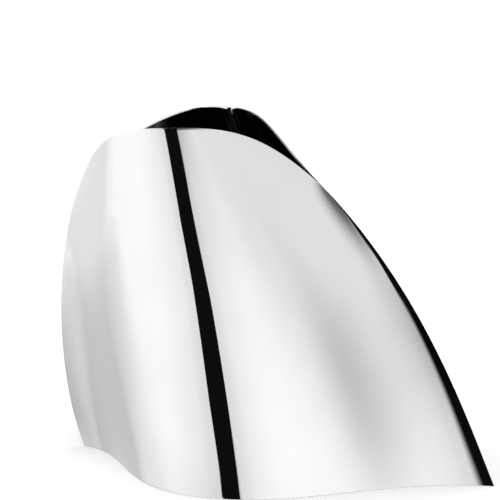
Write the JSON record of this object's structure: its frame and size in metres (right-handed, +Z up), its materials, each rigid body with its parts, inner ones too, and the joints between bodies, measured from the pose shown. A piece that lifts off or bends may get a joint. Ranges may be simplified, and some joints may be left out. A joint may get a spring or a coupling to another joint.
{
  "type": "champagne bucket",
  "caption": "Free-form polished steel champagne bucket: mirrored half shells welded into a sharp nose and a long raked tail, open rim above, raised floor inside.",
  "frame": {"origin": "on the table, under the middle of the bucket's overall length and width", "axes": "+X runs from the nose, which the bottle leans over, to the long tail; +Z up; the front shell is on the -Y side"},
  "size_m": [0.341, 0.165, 0.2651],
  "materials": {
    "shell_steel": "mirror-polished stainless steel",
    "floor_steel": "satin stainless steel",
    "weld_steel": "brushed weld bead, slightly rippled"
  },
  "bodies": {
    "root": {"front_shell": "shell_steel", "rear_shell": "shell_steel", "nose_seam": "weld_steel", "tail_seam": "weld_steel", "floor_pan": "floor_steel", "floor_seam": "weld_steel"}
  },
  "joints": []
}
